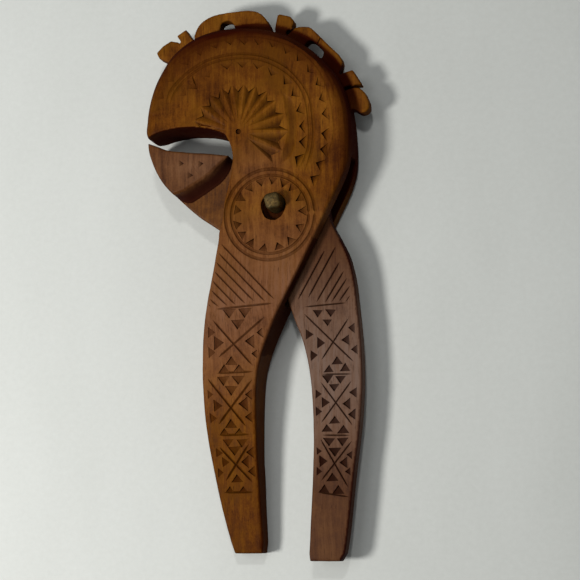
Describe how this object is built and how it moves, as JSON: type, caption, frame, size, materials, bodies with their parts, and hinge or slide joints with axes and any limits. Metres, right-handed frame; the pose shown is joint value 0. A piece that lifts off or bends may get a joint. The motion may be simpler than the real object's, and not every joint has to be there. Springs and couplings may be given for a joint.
{
  "type": "lever nutcracker",
  "caption": "Carved wooden lever nutcracker: a round head with a pierced crest and a side mouth, a mortised handle, and a flat lever with a lower jaw that turns on a brass pin.",
  "frame": {"origin": "on the axis of the pivot pin, in the flat back face that the object lies on", "axes": "+Z out of the carved front face along the pin, +Y from the pin towards the crest on the head, with the handles towards -Y, +X to the right seen from the front, so the mouth opens towards -X"},
  "size_m": [0.0948, 0.2301, 0.028],
  "materials": {
    "fork_wood": "satin",
    "board_wood": "satin",
    "pad_wood": "satin",
    "brass_pin": "tarnished satin"
  },
  "bodies": {
    "fork": {"fork_lever": "fork_wood", "pivot_pin": "brass_pin"},
    "jaw_lever": {"board_lever": "board_wood", "front_jaw_pad": "pad_wood", "back_jaw_pad": "pad_wood"}
  },
  "joints": [
    {"name": "pivot", "type": "hinge", "parent": "fork", "child": "jaw_lever", "pos_m": [0, 0, 0.011], "axis": [0, 0, 1], "range_deg": [-1.5, 32]}
  ]
}
